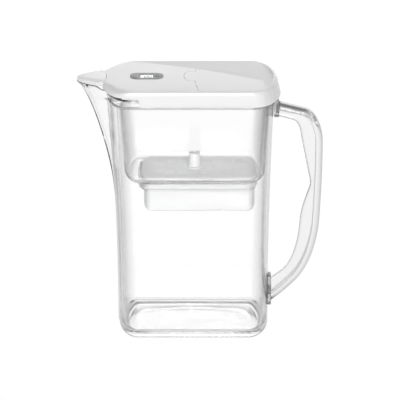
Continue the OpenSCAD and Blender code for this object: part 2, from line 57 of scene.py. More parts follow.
mm = 0.001
print("stage: frame loaded,", len(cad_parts), "nodes")


# Shader maths on sockets, so that a mask reads as an expression
class Socket:
    def __init__(self, finish, plug):
        self.finish, self.plug = finish, plug

    def maths(self, operation, first, second):
        return self.finish.node("ShaderNodeMath", {"operation": operation}, {0: first, 1: second})

    def __add__(self, other):
        return self.maths("ADD", self, other)

    def __radd__(self, other):
        return self.maths("ADD", other, self)

    def __sub__(self, other):
        return self.maths("SUBTRACT", self, other)

    def __rsub__(self, other):
        return self.maths("SUBTRACT", other, self)

    def __mul__(self, other):
        return self.maths("MULTIPLY", self, other)

    def __rmul__(self, other):
        return self.maths("MULTIPLY", other, self)

    def __pow__(self, other):
        return self.maths("POWER", self, other)


class Finish:
    def __init__(self, name, **plain):
        self.material = bpy.data.materials.new(name)
        self.material.use_nodes = True
        self.tree = self.material.node_tree
        self.tree.nodes.clear()
        self.out = self.tree.nodes.new("ShaderNodeOutputMaterial")
        self.shader = self.node("ShaderNodeBsdfPrincipled", {}, plain)
        self.show(self.shader)

    # any node: its settings first, then the values or links of its sockets
    def node(self, kind, settings, sockets, output=0):
        made = self.tree.nodes.new(kind)
        for name, value in settings.items():
            if name == "stops":
                ramp = made.color_ramp.elements
                while len(ramp) < len(value):
                    ramp.new(0.5)
                for stop, (place, tone) in zip(ramp, value):
                    stop.position, stop.color = place, (tone, tone, tone, 1)
            else:
                setattr(made, name, value)
        for name, value in sockets.items():
            self.plug(made.inputs[name], value)
        return Socket(self, made.outputs[output])

    def plug(self, target, value):
        if isinstance(value, Socket):
            self.tree.links.new(value.plug, target)
        elif hasattr(target.default_value, "__len__") and isinstance(value, (int, float)):
            target.default_value = (value, value, value, 1)[: len(target.default_value)]
        elif hasattr(target.default_value, "__len__") and len(value) < len(target.default_value):
            target.default_value = (*value, 1)
        else:
            target.default_value = value

    def show(self, surface):
        self.plug(self.out.inputs["Surface"], surface)

    def set(self, **sockets):
        for name, value in sockets.items():
            self.plug(self.shader.plug.node.inputs[name.replace("_", " ")], value)

    def place(self, scale=(1, 1, 1), turn=(0, 0, 0), shift=(0, 0, 0)):
        spot = self.node("ShaderNodeTexCoord", {}, {}, "Object")
        return self.node("ShaderNodeMapping", {},
                         {"Vector": spot, "Scale": scale, "Rotation": turn, "Location": shift})

    def grain(self, size, detail=3, rough=0.5, **where):
        return self.node("ShaderNodeTexNoise", {}, {"Vector": self.place(**where), "Scale": 1 / size,
                                                  "Detail": detail, "Roughness": rough}, "Fac")

    def cells(self, size, feature="F1", output="Distance", **where):
        return self.node("ShaderNodeTexVoronoi", {"feature": feature},
                         {"Vector": self.place(**where), "Scale": 1 / size}, output)

    def span(self, value, low, high, outLow, outHigh):
        return self.node("ShaderNodeMapRange", {}, {"Value": value, "From Min": low, "From Max": high,
                                                  "To Min": outLow, "To Max": outHigh})

    def mix(self, share, first, second):
        return self.node("ShaderNodeMix", {"data_type": "RGBA"}, {0: share, 6: first, 7: second}, 2)

    def bump(self, height, depth):
        relief = self.node("ShaderNodeBump", {}, {"Height": height, "Distance": depth, "Strength": 1.0})
        self.set(Normal=relief)


# Clear plastic: a faint grey painted into the base colour as shade where a wall is seen edge on, most of all at
# its rim, and less on level faces; thin painted shade lines round the body at given heights, as (from, full, to,
# share), that fade out at the spout; soft moulding waves; and a see-through shadow so that the lamps reach what is
# inside
clearShared = {"rimShadePower": 7, "shadeLinesFrom": -0.096, "shadeLinesFull": -0.088, "shadow": (0.92, 0.92, 0.925, 1)}
clearPlastic = {
    "clearJug": {"tint": 0.997, "edge": 0.03, "power": 2.4, "rim": 1.0, "level": 0.8,
                 "wave": 0.028, "waveDepth": 0.00006, "roughness": 0.012,
                 "lines": ((0.2562, 0.258, 0.26, 0.5), (-0.001, 0.0001, 0.0013, 0.8),
                           (0.00705, 0.0075, 0.0088, 0.7))},
    "clearHandle": {"tint": 0.98, "edge": 0.06, "power": 0.7, "rim": 0.5, "level": 0.85,
                    "wave": 0.02, "waveDepth": 0.00008, "roughness": 0.02,
                    "lines": ((0.234, 0.2445, 0.262, 0.25),)},
    "clearBoss": {"tint": 0.5, "edge": 0.02, "power": 1.2, "rim": 0.5, "level": 0.2,
                  "wave": 0.02, "waveDepth": 0.00006, "roughness": 0.02, "lines": ()},
    "clearHopper": {"tint": 0.99, "edge": 0.05, "power": 1.7, "rim": 0.9, "level": 0.95,
                    "wave": 0.022, "waveDepth": 0.00006, "roughness": 0.018,
                    "lines": ((0.1706, 0.1715, 0.1729, 0.7),)},
    "clearLens": {"tint": 0.98, "edge": 0.6, "power": 3.0, "rim": 0.0, "level": 0.8,
                  "wave": 0.01, "waveDepth": 0.00001, "roughness": 0.02, "lines": ()},
}


def makeClear(name, tint, edge, power, rim, level, wave, waveDepth, roughness, lines):
    made = Finish(name, **{"IOR": 1.49, "Transmission Weight": 1.0})
    # Painted shade: the base colour greys as a wall turns edge on, and the object-space normal keeps it lighter on
    # level faces
    facing = made.node("ShaderNodeLayerWeight", {}, {"Blend": 0.5}, "Facing")
    across = made.node("ShaderNodeTexCoord", {}, {}, "Normal")
    up = made.node("ShaderNodeSeparateXYZ", {}, {0: across}, 2)
    upright = 1 - level * up * up
    thin = (1 - facing ** power * upright) * (1 - rim * facing ** clearShared["rimShadePower"] * upright)
    height = made.node("ShaderNodeSeparateXYZ", {}, {0: made.place()}, 2)
    along = made.node("ShaderNodeSeparateXYZ", {}, {0: made.place()}, 0)
    # Painted shade lines: the base colour darkens in bands at the listed heights, fading out at the spout
    body = made.span(along, clearShared["shadeLinesFrom"], clearShared["shadeLinesFull"], 0, 1)
    for low, middle, high, share in lines:
        line = made.span(height, low, middle, 0, share) * made.span(height, middle, high, 1, 0)
        thin = thin * (1 - body * line)
    made.set(Base_Color=made.mix(thin, (edge, edge, edge, 1), (tint, tint, tint, 1)))
    smear = made.grain(0.018, 4, 0.6, scale=(1, 1, 0.35))
    scuff = made.grain(0.0022, 2, 0.5, scale=(1, 1, 0.12))
    made.set(Roughness=made.span(smear * 0.8 + scuff * 0.2, 0.35, 0.75, roughness * 0.5, roughness * 2.2))
    made.bump(made.grain(wave, 2, 0.4, scale=(1, 1, 0.4)), waveDepth)
    light = made.node("ShaderNodeBsdfTransparent", {}, {"Color": clearShared["shadow"]})
    shadow = made.node("ShaderNodeLightPath", {}, {}, "Is Shadow Ray")
    made.show(made.node("ShaderNodeMixShader", {}, {0: shadow, 1: made.shader, 2: light}))
    return made.material


# Opaque mouldings: base tone, fine spark-eroded grain, slow colour drift and handling marks.
# Each roughness keeps its whole range on one side of 0.27, where the denoiser would leave blotches.
mouldings = {
    "lidWhite": {"tone": (0.87, 0.87, 0.872), "drift": 0.02, "roughness": 0.33,
                 "grain": 0.00045, "depth": 0.000012, "coat": 0.25},
    "linerWhite": {"tone": (0.82, 0.82, 0.82), "drift": 0.03, "roughness": 0.42,
                   "grain": 0.0006, "depth": 0.00002, "coat": 0.0},
    "cartridgeWhite": {"tone": (0.85, 0.855, 0.858), "drift": 0.02, "roughness": 0.38,
                       "grain": 0.0005, "depth": 0.000015, "coat": 0.1},
    "capWhite": {"tone": (0.89, 0.893, 0.896), "drift": 0.03, "roughness": 0.4,
                 "grain": 0.0005, "depth": 0.000018, "coat": 0.1},
    "paleSeal": {"tone": (0.86, 0.865, 0.87), "drift": 0.02, "roughness": 0.6,
                 "grain": 0.0005, "depth": 0.00002, "coat": 0.0},
    "bezelGrey": {"tone": (0.24, 0.243, 0.247), "drift": 0.05, "roughness": 0.36,
                  "grain": 0.0004, "depth": 0.00001, "coat": 0.3},
    "buttonGrey": {"tone": (0.27, 0.275, 0.28), "drift": 0.08, "roughness": 0.55,
                   "grain": 0.0003, "depth": 0.000018, "coat": 0.0},
    # painted shade: near black, for the shadow in the gap under the lid beside the spout
    "paintedShadeStrip": {"tone": (0.035, 0.036, 0.038), "drift": 0.1, "roughness": 0.6,
                  "grain": 0.0005, "depth": 0.00003, "coat": 0.0},
    "softSeal": {"tone": (0.5, 0.51, 0.52), "drift": 0.1, "roughness": 0.65,
                 "grain": 0.0005, "depth": 0.00003, "coat": 0.0},
}


def makeMoulding(name, tone, drift, roughness, grain, depth, coat):
    made = Finish(name, **{"IOR": 1.49, "Coat Weight": coat, "Coat Roughness": 0.12})
    slow = made.grain(0.045, 3, 0.55)
    dark = tuple(c * (1 - 2 * drift) for c in tone)
    warm = (tone[0] * 1.005, tone[1], tone[2] * (1 - drift * 0.4))
    made.set(Base_Color=made.mix(slow, (*dark, 1), (*warm, 1)))
    rubbed = made.grain(0.012, 5, 0.65)
    made.set(Roughness=rubbed * (roughness * 0.3) + roughness * 0.9)
    made.bump(made.grain(grain * 2, 3, 0.6), depth)
    return made.material


def makeGranules(name):
    made, size = Finish(name), 0.0011
    tone = made.node("ShaderNodeSeparateColor", {}, {0: made.cells(size, "F1", "Color")}, 0)
    pale = made.span(tone, 0.55, 0.6, 0, 1)
    made.set(Base_Color=made.mix(pale, (0.02, 0.02, 0.022, 1), (0.62, 0.58, 0.48, 1)))
    made.set(Roughness=made.span(tone, 0, 1, 0.55, 0.85))
    made.bump(1 - made.cells(size), 0.0005)
    return made.material


def makeMesh(name):
    made = Finish(name, **{"IOR": 1.5})
    across, along = (made.node("ShaderNodeTexWave", {"bands_direction": way, "wave_profile": "SIN"},
                               {"Vector": made.place(), "Scale": 260}) for way in "XY")
    weave = across * along
    made.set(Base_Color=made.mix(weave, (0.42, 0.43, 0.43, 1), (0.84, 0.85, 0.85, 1)),
             Roughness=made.span(weave, 0, 1, 0.7, 0.4))
    made.bump(weave, 0.0003)
    return made.material


def makeSteel(name, tone, lines, roughness):
    made = Finish(name, **{"Metallic": 1.0, "IOR": 1.45})
    brushed = made.grain(lines, 4, 0.6, scale=(0.06, 1, 1))
    made.set(Base_Color=made.mix(brushed, (*[c * 0.86 for c in tone], 1), (*tone, 1)),
             Roughness=made.span(brushed, 0.3, 0.7, roughness * 0.75, roughness * 1.3))
    made.bump(brushed, 0.000012)
    return made.material


def makeBoard(name):
    made = Finish(name, **{"Coat Weight": 0.5, "Coat Roughness": 0.1})
    tracks = made.span(made.cells(0.0032, "DISTANCE_TO_EDGE"), 0.05, 0.09, 0, 1)
    pads = made.span(made.cells(0.0041, shift=(0.3, 0.1, 0)), 0.13, 0.16, 0, 1)
    board = made.mix(tracks, (0.03, 0.21, 0.1, 1), (0.012, 0.12, 0.06, 1))
    made.set(Base_Color=made.mix(pads, (0.7, 0.62, 0.42, 1), board),
             Roughness=made.span(made.grain(0.004), 0.3, 0.7, 0.3, 0.5))
    made.bump(tracks, 0.00003)
    return made.material


def makeDisplay(name):
    # The panel glows a little, though it is no lamp: painted light that brightens the display in its recess
    made = Finish(name, **{"IOR": 1.5, "Emission Strength": 0.42})
    cloud = made.grain(0.004, 3, 0.5)
    made.set(Base_Color=made.mix(cloud, (0.84, 0.85, 0.83, 1), (0.9, 0.91, 0.89, 1)),
             Emission_Color=made.mix(cloud, (0.9, 0.92, 0.9, 1), (1, 1, 1, 1)),
             Roughness=made.span(cloud, 0.3, 0.7, 0.31, 0.42))
    made.bump(made.grain(0.0003, 2), 0.000008)
    return made.material


def makeInk(name):
    made = Finish(name, **{"IOR": 1.45})
    cloud = made.grain(0.0007, 3, 0.6)
    made.set(Base_Color=made.mix(cloud, (0.05, 0.055, 0.06, 1), (0.1, 0.105, 0.11, 1)),
             Roughness=made.span(cloud, 0.3, 0.7, 0.4, 0.55))
    made.bump(cloud, 0.00001)
    return made.material


finishes = {name: makeClear(name, **values) for name, values in clearPlastic.items()}
finishes.update({name: makeMoulding(name, **values) for name, values in mouldings.items()})
finishes["granules"] = makeGranules("granules")
finishes["screenMesh"] = makeMesh("screenMesh")
finishes["springSteel"] = makeSteel("springSteel", (0.78, 0.76, 0.7), 0.0006, 0.2)
finishes["cellSteel"] = makeSteel("cellSteel", (0.76, 0.77, 0.79), 0.0008, 0.19)
finishes["boardGreen"] = makeBoard("boardGreen")
finishes["lcdGlass"] = makeDisplay("lcdGlass")
finishes["lcdInk"] = makeInk("lcdInk")
print("stage: finishes made,", len(finishes))


def finishPiece(bm, name, finish, body, replaced=(), smooth=32, ground=None):
    mesh = bpy.data.meshes.new(name)
    bm.to_mesh(mesh)
    bm.free()
    piece = bpy.data.objects.new(name, mesh)
    bpy.context.scene.collection.objects.link(piece)
    mesh.materials.append(finishes[finish])
    mesh.shade_smooth()
    mesh.set_sharp_from_angle(angle=math.radians(smooth))
    if ground:
        mesh.normals_split_custom_set(ground(mesh))
    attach(piece, body)
    if replaced:
        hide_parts(*replaced)
    return piece


# A skin that is capped at both ends, or joined to itself: one drawn circle is extruded from ring to ring
def wrap(rings, joined=False):
    bm = bmesh.new()
    first = bmesh.ops.create_circle(bm, segments=len(rings[0]), radius=1, cap_ends=False)["verts"]
    edges = start = list(bm.edges)
    loop = list(first)
    for vert, spot in zip(loop, rings[0]):
        vert.co = Vector(spot) * mm
    if not joined:
        bmesh.ops.contextual_create(bm, geom=edges)
    for ring in rings[1:]:
        made = bmesh.ops.extrude_edge_only(bm, edges=edges)["geom"]
        fresh = {item for item in made if isinstance(item, bmesh.types.BMVert)}
        follow = {edge.other_vert(vert): vert for vert in fresh for edge in vert.link_edges
                  if edge.other_vert(vert) not in fresh}
        loop = [follow[vert] for vert in loop]
        edges = [item for item in made if isinstance(item, bmesh.types.BMEdge)]
        edges = [edge for edge in edges if edge.verts[0] in fresh and edge.verts[1] in fresh]
        for vert, spot in zip(loop, ring):
            vert.co = Vector(spot) * mm
    if joined:
        bmesh.ops.bridge_loops(bm, edges=edges + start)
    else:
        bmesh.ops.contextual_create(bm, geom=edges)
    bmesh.ops.remove_doubles(bm, verts=bm.verts, dist=1e-7)
    bmesh.ops.recalc_face_normals(bm, faces=bm.faces)
    return bm


def curve(p, q, r, s, count):
    spots = []
    for i in range(1, count + 1):
        t = i / count
        u = 1 - t
        spots.append(tuple(u ** 3 * a + 3 * u * u * t * b + 3 * u * t * t * c + t ** 3 * d
                           for a, b, c, d in zip(p, q, r, s)))
    return spots


def ease(low, high, value):
    t = min(1, max(0, (value - low) / (high - low)))
    return t * t * (3 - 2 * t)


# The jug's outline, in millimetres, as the construction has it
jug = {"height": 265.5, "length": 159, "depth": 100, "bow": 20.5, "spoutLean": 11, "handleLean": 6.5,
       "leanPower": 2.2, "handleBow": 3.5, "endFlat": 1.5, "wall": 2.5, "floor": 7, "floorRound": 5,
       "recess": 3.5, "ring": 7, "baseRound": 4, "corner": 26,
       "beadTop": 259.3, "beadHeight": 2.4, "beadOut": 1.8,
       "spoutReach": 31.5, "spoutHalf": 22, "spoutRun": 28, "spoutWall": 2.2, "spoutFoot": 130,
       "spoutTop": 272.5, "slow": 0.84, "slowPower": 1.8, "sharpPower": 16, "tipWall": 1.6, "flankWall": 0.35,
       "fillet": 3.2, "far": 200, "halvings": 26, "tipSteps": 20, "sideSteps": 26, "sideShare": 0.86,
       "rise": 3, "riseFrom": -86.5, "riseFull": -90, "liftFrom": -95.5, "liftFull": -98.5, "bendFrom": 250}


def lean(z):
    return (max(z, 0) / jug["height"]) ** jug["leanPower"]


def corners(x0, x1, half, bow0, bow1, deep, count):
    spots = []
    for cx, cy, rx, turn in ((x1 - bow1, half - deep, bow1, 0), (x0 + bow0, half - deep, bow0, 90),
                             (x0 + bow0, deep - half, bow0, 180), (x1 - bow1, deep - half, bow1, 270)):
        for i in range(count + 1):
            a = math.radians(turn + 90 * i / count)
            spots.append((cx + rx * math.cos(a), cy + deep * math.sin(a)))
    return spots


def jugEnds(z, d):
    half = jug["depth"] / 2 - d
    return (-jug["length"] / 2 - jug["spoutLean"] * lean(z) + d,
            jug["length"] / 2 + jug["handleLean"] * lean(z) - d,
            half, jug["bow"] - d, jug["bow"] + jug["handleBow"] * lean(z) - d, half - jug["endFlat"])


def spoutTip(z):
    t = max(0, (z - jug["spoutFoot"]) / (jug["spoutTop"] - jug["spoutFoot"]))
    share = jug["slow"] * t ** jug["slowPower"] + (1 - jug["slow"]) * t ** jug["sharpPower"]
    return -jug["length"] / 2 - jug["spoutLean"] * lean(z) - jug["spoutReach"] * share


def spoutHalf(run):
    return max(0.3, jug["spoutHalf"] * (max(run, 0) / jug["spoutRun"]) ** 0.6)


# Directions from the middle of the spout end's bow, from the back flank round to the tip
def spoutAngles():
    first = []
    for i in range(jug["sideSteps"] + 1):
        t = math.radians(90 * (1 - jug["sideShare"] * i / jug["sideSteps"]))
        first.append(math.degrees(math.atan2(math.sin(t) * jug["depth"] / 2, -math.cos(t) * jug["bow"])))
    last = first[-1]
    for i in range(1, jug["tipSteps"] + 1):
        first.append(180 - (180 - last) * (1 - i / jug["tipSteps"]) ** 1.5)
    return first + [360 - a for a in reversed(first[:-1])]


angles = spoutAngles()


def spoutEnd(z, d, thin):
    x0, _, half, bow, _, _ = jugEnds(z, d)
    centre = x0 + bow
    tip = spoutTip(z) + jug["tipWall"] * thin
    spots = []
    for a in angles:
        c, s = math.cos(math.radians(a)), math.sin(math.radians(a))
        body = 1 / math.sqrt((c / bow) ** 2 + (s / half) ** 2)
        low, high = 0, (centre - tip) / max(1e-6, -c) if c < 0 else 0
        high = min(high, jug["far"])
        for _ in range(jug["halvings"]):
            r = 0.5 * (low + high)
            if r * abs(s) - (spoutHalf(centre + r * c - tip) - jug["flankWall"] * thin) > 0:
                high = r
            else:
                low = r
        spout = low
        share = max(0, 1 - abs(body - spout) / jug["fillet"])
        r = max(body, spout) + share * share * jug["fillet"] / 4
        spots.append((centre + r * c, r * s))
    return spots


def jugOutline(z, d, thin):
    x0, x1, half, bow0, bow1, deep = jugEnds(z, d)
    whole = corners(x0, x1, half, bow0, bow1, deep, jug["corner"])
    n = jug["corner"] + 1
    return whole[:n] + spoutEnd(z, d, thin) + whole[3 * n:]


def jugTop(x):
    lift = jug["spoutTop"] - jug["height"] - jug["rise"]
    return (jug["height"] + jug["rise"] * ease(jug["riseFrom"], jug["riseFull"], x)
            + lift * ease(jug["liftFrom"], jug["liftFull"], x))


def jugRing(z, d, thin=None):
    thin = d * jug["spoutWall"] / jug["wall"] if thin is None else thin
    spots = jugOutline(z, d, thin)
    if z < jug["bendFrom"]:
        return [(x, y, z) for x, y in spots]
    share = (z - jug["bendFrom"]) / (jug["height"] - jug["bendFrom"])
    heights = [z + (jugTop(x) - jug["height"]) * share ** 2 for x, y in spots]
    levels = {round(h, 3): jugOutline(h, d, thin) for h in set(round(h, 3) for h in heights)}
    return [(*levels[round(h, 3)][i], h) for i, h in enumerate(heights)]


outerHeights = (12, 24, 40, 58, 76, 94, 110, 122, 132, 142, 152, 162, 172, 181, 190, 199, 208, 216, 224,
                231, 238, 244, 250, 254)
innerHeights = (261, 255, 249, 243, 236, 228, 219, 209, 199, 189, 179, 169, 159, 149, 139, 130, 118, 104,
                88, 70, 50, 34, 22)
beadSection = ((0.0, 0.45), (0.2, 0.88), (0.5, 1.0), (0.8, 0.88), (1.0, 0.45))


def jugBody():
    wall, base, floor, inner = jug["wall"], jug["baseRound"], jug["floor"], jug["floorRound"]
    rings = [jugRing(jug["recess"], jug["ring"] + 0.8), jugRing(jug["recess"] - 0.3, jug["ring"] + 0.2),
             jugRing(0.5, jug["ring"] - 0.1), jugRing(0.1, jug["ring"] - 0.4), jugRing(0, jug["ring"] - 0.9)]
    for i in range(7):
        a = math.radians(90 * i / 6)
        rings.append(jugRing(base * (1 - math.cos(a)), base * (1 - math.sin(a))))
    for z in outerHeights:
        rings.append(jugRing(z, 0))
    top, tall, out = jug["beadTop"], jug["beadHeight"], jug["beadOut"]
    rings.append(jugRing(top - tall - 0.15, 0))
    for share, reach in beadSection:
        rings.append(jugRing(top - tall + share * tall, -out * reach, 0))
    rings.append(jugRing(top + 0.15, 0))
    height = jug["height"]
    rings += [jugRing(262.5, 0), jugRing(height - 0.3, 0), jugRing(height - 0.08, 0.08), jugRing(height, 0.3),
              jugRing(height, wall - 0.7), jugRing(height - 0.2, wall - 0.2), jugRing(height - 0.7, wall)]
    for z in innerHeights:
        rings.append(jugRing(z, wall))
    for i in range(6):
        a = math.radians(90 * i / 6)
        rings.append(jugRing(floor + inner * (1 - math.sin(a)), wall + inner * (1 - math.cos(a))))
    rings.append(jugRing(floor, wall + inner + 0.2))
    return wrap(rings)


finishPiece(jugBody(), "jugBody", "clearJug", "jug", ["jug_shell"], 50)
print("stage: jug")

# Bosses on the jug that hold the handle's tongues
boss = {"width": 16, "upper": (85.2, 90.5, 234, 251), "lower": (79.3, 83, 22, 54),
        "inset": 2.6, "slotWidth": 6, "slotHeight": 10, "slotDepth": 3, "edge": 0.9}


def block(x0, x1, y0, y1, z0, z1, edge=0.0):
    bm = bmesh.new()
    bmesh.ops.create_cube(bm, size=1)
    bmesh.ops.scale(bm, verts=bm.verts, vec=((x1 - x0) * mm, (y1 - y0) * mm, (z1 - z0) * mm))
    bmesh.ops.translate(bm, verts=bm.verts, vec=((x0 + x1) / 2 * mm, (y0 + y1) / 2 * mm, (z0 + z1) / 2 * mm))
    if edge:
        bmesh.ops.bevel(bm, geom=bm.edges, offset=edge * mm, affect="EDGES", segments=2, profile=0.5, material=-1)
    return bm


def bossPiece(name, x0, x1, z0, z1):
    bm = block(x0, x1, -boss["width"] / 2, boss["width"] / 2, z0, z1)
    face = max(bm.faces, key=lambda f: f.calc_center_median().x)
    bmesh.ops.inset_individual(bm, faces=[face], thickness=boss["inset"] * mm)
    middle = 0.5 * (z0 + z1)
    for vert in face.verts:
        vert.co.y = math.copysign(boss["slotWidth"] / 2 * mm, vert.co.y)
        vert.co.z = middle * mm + math.copysign(boss["slotHeight"] / 2 * mm, vert.co.z - middle * mm)
    outer = [edge for edge in bm.edges if edge not in face.edges and edge.calc_face_angle(0) > 1]
    hole = bmesh.ops.extrude_discrete_faces(bm, faces=[face])["faces"]
    bmesh.ops.translate(bm, verts=hole[0].verts, vec=(-boss["slotDepth"] * mm, 0, 0))
    bmesh.ops.bevel(bm, geom=outer, offset=boss["edge"] * mm, affect="EDGES", segments=3, profile=0.5, material=-1)
    return finishPiece(bm, name, "clearBoss", "jug", ["jug_shell"], 40)


bossPiece("upperBoss", *boss["upper"])
bossPiece("lowerBoss", *boss["lower"])

# Handle: a rounded outer band with a thinner web inside it
handle = {"top": 249.5, "out": 137.0, "root": 79.5, "rim": 265.5, "band": 7.8, "bandWidth": 16, "web": 5.0,
          "upperCut": 90.5, "lowerCut": 83.0, "crown": 6.0, "lip": 3.2, "pairs": 60, "sunk": 0.4,
          "tongueGap": 0.1, "edge": 0.3}


def handleOuter():
    top, out, root, rim = handle["top"], handle["out"], handle["root"], handle["rim"]
    a, b = (out - 19, top - 6.8), (out, top - 44)
    c, d = (out - 3, 0.43 * rim), (out - 28, 48)
    line = [(root, top + 2.9), (root + 10, top + 0.4), (root + 22, top - 2.7), a]
    line += curve(a, (a[0] + 10.5, a[1] - 2.7), (b[0] - 0.6, b[1] + 19), b, 14)
    line += curve(b, (b[0] + 0.2, b[1] - 32), (c[0] + 1.4, c[1] + 22), c, 10)
    line += curve(c, (c[0] - 2.6, c[1] - 27), (d[0] + 14, d[1] + 14.5), d, 14)
    line += curve(d, (d[0] - 8, d[1] - 8.5), (root + 12, 31), (root - 2, 21), 8)
    return line


def handleInner():
    top, root, rim = handle["top"], handle["root"], handle["rim"]
    a, b = (root + 26, top - 20.5), (root + 34.6, top - 40)
    c, d, e = (root + 44.8, 0.597 * rim), (root + 33.6, 0.434 * rim), (root + 16.4, 61)
    line = [(root - 12, top - 10.5), a]
    line += curve(a, (a[0] + 5.5, a[1] - 1.7), (b[0] - 0.5, b[1] + 9), b, 10) + [c]
    line += curve(c, (c[0] - 2.6, c[1] - 10.5), (d[0] + 1, d[1] + 18), d, 10)
    line += curve(d, (d[0] - 1.6, d[1] - 22), (e[0] + 11, e[1] + 12), e, 10)
    line += [(root + 2, 50), (root - 12, 40)]
    return line


def normals(line):
    found = []
    for i in range(len(line)):
        before, after = Vector(line[max(0, i - 1)]), Vector(line[min(len(line) - 1, i + 1)])
        along = (after - before).normalized()
        found.append(Vector((along.y, -along.x)))
    return found


# Evenly spaced points along a line
def paced(line, count):
    spots = [Vector(spot) for spot in line]
    runs = [(q - p).length for p, q in zip(spots, spots[1:])]
    found = []
    for i in range(count):
        rest, at = sum(runs) * i / (count - 1), 0
        while at < len(runs) - 1 and rest > runs[at]:
            rest -= runs[at]
            at += 1
        found.append(spots[at].lerp(spots[at + 1], min(1, rest / runs[at])))
    return found


# Sections set along a line, cut off at the bosses' outer faces
def sweepHandle(sections, line, ways):
    bm = wrap([[(spot[0] + way.x * u, v, spot[1] + way.y * u) for u, v in section]
               for section, spot, way in zip(sections, line, ways)])
    half = 0.5 * handle["rim"] * mm
    for place, high in ((handle["upperCut"], True), (handle["lowerCut"], False)):
        part = [f for f in bm.faces if (f.calc_center_median().z > half) == high]
        geom = list({v for f in part for v in f.verts}) + list({e for f in part for e in f.edges}) + part
        bmesh.ops.bisect_plane(bm, geom=geom, plane_co=(place * mm, 0, 0), plane_no=(1, 0, 0), clear_inner=True)
    bmesh.ops.holes_fill(bm, edges=[e for e in bm.edges if e.is_boundary], sides=0)
    bmesh.ops.recalc_face_normals(bm, faces=bm.faces)
    return bm


def bandSection():
    half, thick, crown = handle["bandWidth"] / 2, handle["band"], handle["crown"]
    spots = [(crown * (1 - math.sin(math.pi * i / 12)), -half * math.cos(math.pi * i / 12)) for i in range(13)]
    spots += [(thick - 1.6, half), (thick - 0.6, half - 0.35), (thick, half - 1.4)]
    spots += [(thick, 0.4 * half), (thick, -0.4 * half)]
    spots += [(thick, 1.4 - half), (thick - 0.6, 0.35 - half), (thick - 1.6, -half)]
    return spots


def webSection(depth):
    half, lip = handle["web"] / 2, min(handle["lip"], 0.45 * depth)
    arc = [math.pi * i / 8 for i in range(9)]
    edge = [(depth - lip + lip * math.sin(a), -half * math.cos(a)) for a in arc]
    return [(0, -half)] + edge + [(0, half)]


outerLine = handleOuter()
middle = Vector((handle["root"] + 20, 150))
outerWays = [way if way.dot(middle - Vector(spot)) > 0 else -way
             for way, spot in zip(normals(outerLine), outerLine)]
webFoot = handle["band"] - handle["sunk"]
webStart = paced([Vector(spot) + way * webFoot for spot, way in zip(outerLine, outerWays)], handle["pairs"])
webEnd = paced(handleInner(), handle["pairs"])
webWays = [(end - start).normalized() for start, end in zip(webStart, webEnd)]
webSections = [webSection((end - start).length) for start, end in zip(webStart, webEnd)]
handleBand = sweepHandle([bandSection()] * len(outerLine), outerLine, outerWays)
finishPiece(handleBand, "handleBand", "clearHandle", "jug", ["handle"], 40)
handleWeb = sweepHandle(webSections, webStart, webWays)
finishPiece(handleWeb, "handleWeb", "clearHandle", "jug", ["handle"], 40)
for name, (x0, x1, z0, z1) in (("upperTongue", boss["upper"]), ("lowerTongue", boss["lower"])):
    gap, height = handle["tongueGap"], 0.5 * (z0 + z1)
    wide, tall = boss["slotWidth"] / 2 - gap, boss["slotHeight"] / 2 - gap
    tongue = block(x1 - boss["slotDepth"] + gap, x1 + handle["edge"], -wide, wide, height - tall, height + tall,
                   handle["edge"])
    finishPiece(tongue, name, "clearHandle", "jug", ["handle"], 40)
print("stage: handle")

# Hopper that hangs in the jug, and the seat under it
hopper = {"rim": 265.5, "flange": 268.0, "floor": 171.0, "wall": 2.2, "height": 94.5, "gap": 1, "pour": 6,
          "draft": 3, "slope": 7.6, "handleSlope": 4.5, "ledge": 162.5, "round": 7, "cut": 32, "cutEnd": -69,
          "spoutEnd": -90.5, "handleEnd": 86, "steps": 20}
seat = {"x0": -58.4, "x1": 67.5, "half": 39.2, "round": 14, "corner": 24, "ledgeIn": 5.8}


def hopperOutline(z, d):
    t = max(0, (hopper["rim"] - z) / hopper["height"])
    half = jug["depth"] / 2 - jug["wall"] - hopper["gap"] - hopper["draft"] * t - d
    return corners(hopper["spoutEnd"] + jug["wall"] + hopper["pour"] + hopper["slope"] * t + d,
                   hopper["handleEnd"] - jug["wall"] - 1.5 * hopper["gap"] - hopper["handleSlope"] * t - d,
                   half, jug["bow"] - 1 - d, jug["bow"] - d, half - jug["endFlat"], hopper["steps"])


def seatOutline(d):
    return corners(seat["x0"] + d, seat["x1"] - d, seat["half"] - d, seat["round"] - d, seat["round"] - d,
                   seat["corner"] - d, hopper["steps"])


def flangeOutline(z, d):
    whole = corners(*jugEnds(z, d), hopper["steps"])
    near = hopperOutline(z, -0.1)
    return [n if abs(w[1]) < hopper["cut"] and w[0] < hopper["cutEnd"] else w for w, n in zip(whole, near)]


def level(outline, z):
    return [(x, y, z) for x, y in outline]


